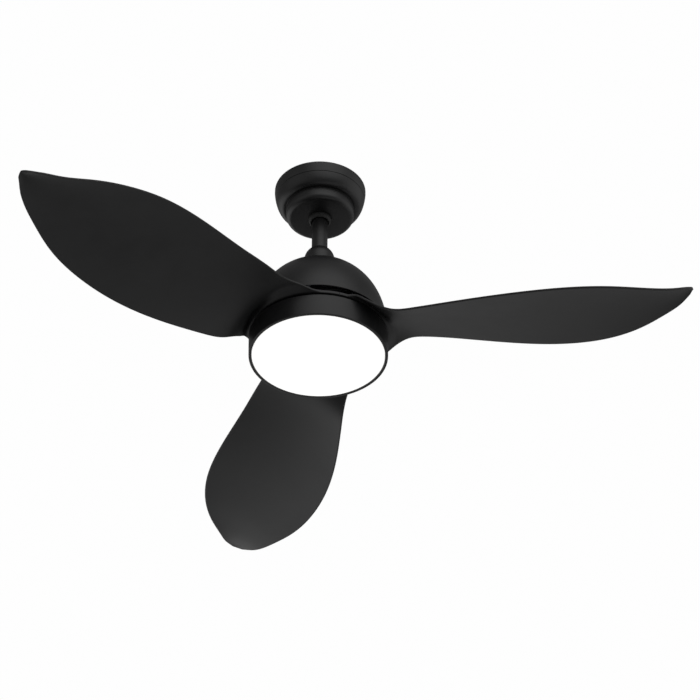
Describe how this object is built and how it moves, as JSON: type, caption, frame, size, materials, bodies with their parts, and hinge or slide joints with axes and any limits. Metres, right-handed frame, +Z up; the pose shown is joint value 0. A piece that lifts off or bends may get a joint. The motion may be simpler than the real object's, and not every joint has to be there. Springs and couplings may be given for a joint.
{
  "type": "ceiling fan with light",
  "caption": "Hanging ceiling fan: swivelling ball mount, short downrod, domed motor, curved twisted blades on an external rotor and a round light with a twist-off diffuser.",
  "frame": {"origin": "on the ceiling plane, at the middle of the hanger bracket's two slotted holes", "axes": "+Z up out of the ceiling face, +X along the bracket's slots and along the first blade"},
  "size_m": [0.9484, 1.0593, 0.3803],
  "materials": {
    "black_steel": "matte black powder coat",
    "black_plastic": "satin moulded black",
    "zinc_steel": "zinc plated",
    "black_screw": "black oxide",
    "soft_rubber": "matte moulded rubber",
    "white_plastic": "moulded white",
    "brass": "turned",
    "dark_nylon": "moulded nylon",
    "lead_jacket": "cable jacket",
    "cast_aluminium": "cast",
    "steel": "ground",
    "copper": "enamelled copper wire",
    "magnet": "ferrite",
    "circuit_board": "printed board",
    "component": "capacitors and coils",
    "led_phosphor": "phosphor",
    "opal": "opal diffuser"
  },
  "bodies": {
    "ceiling": {"hanger_bracket": "zinc_steel", "canopy": "black_steel", "canopy_trim_ring": "black_steel", "canopy_screws": "black_screw", "canopy_bushing": "soft_rubber", "receiver_module": "white_plastic", "terminal_block": "white_plastic", "earth_screw": "brass"},
    "liner": {"ball_liner": "soft_rubber"},
    "hanging": {"hanger_ball": "dark_nylon", "ball_pin": "zinc_steel", "ball_set_screw": "zinc_steel", "downrod": "black_steel", "supply_lead": "lead_jacket", "yoke": "cast_aluminium", "clevis_pin": "zinc_steel", "r_clip": "zinc_steel", "yoke_set_screws": "zinc_steel", "dome_cover": "black_steel", "dome_screws": "zinc_steel", "motor_shaft": "steel", "shaft_circlips": "zinc_steel", "controller_tray": "zinc_steel", "controller_spacers": "dark_nylon", "controller_board": "circuit_board", "controller_components": "component", "controller_screws": "zinc_steel", "stator_core": "steel", "stator_windings": "copper", "bearing_inner_rings": "steel", "light_plate": "zinc_steel", "shaft_washer": "zinc_steel", "shaft_nut": "zinc_steel", "light_housing": "black_plastic", "housing_screws": "zinc_steel", "led_board": "cast_aluminium", "led_chips": "led_phosphor", "led_standoffs": "dark_nylon", "led_screws": "zinc_steel", "led_driver": "white_plastic"},
    "cover": {"coupling_cover": "black_steel"},
    "lens": {"diffuser": "opal"},
    "rotor": {"rotor_lower_shell": "cast_aluminium", "rotor_upper_shell": "cast_aluminium", "shell_screws": "zinc_steel", "magnets": "magnet", "bearing_outer_rings": "steel", "bearing_balls": "steel", "blade_pads": "soft_rubber", "blade_1": "black_plastic", "blade_2": "black_plastic", "blade_3": "black_plastic", "blade_screws": "zinc_steel"}
  },
  "joints": [
    {"name": "ball_tilt_x", "type": "hinge", "parent": "ceiling", "child": "liner", "pos_m": [0, 0, -0.037], "axis": [1, 0, 0], "range_deg": [-2, 2]},
    {"name": "ball_tilt_y", "type": "hinge", "parent": "liner", "child": "hanging", "pos_m": [0, 0, -0.037], "axis": [0, 1, 0], "range_deg": [-2, 2]},
    {"name": "rotor_spin", "type": "hinge", "parent": "hanging", "child": "rotor", "pos_m": [0, 0, -0.313], "axis": [0, 0, 1], "continuous": true},
    {"name": "cover_lift", "type": "slide", "parent": "hanging", "child": "cover", "axis": [0, 0, 1], "range_m": [0, 0.055]},
    {"name": "lens_twist", "type": "hinge", "parent": "hanging", "child": "lens", "pos_m": [0, 0, -0.357], "axis": [0, 0, -1], "range_deg": [0, 20]}
  ]
}
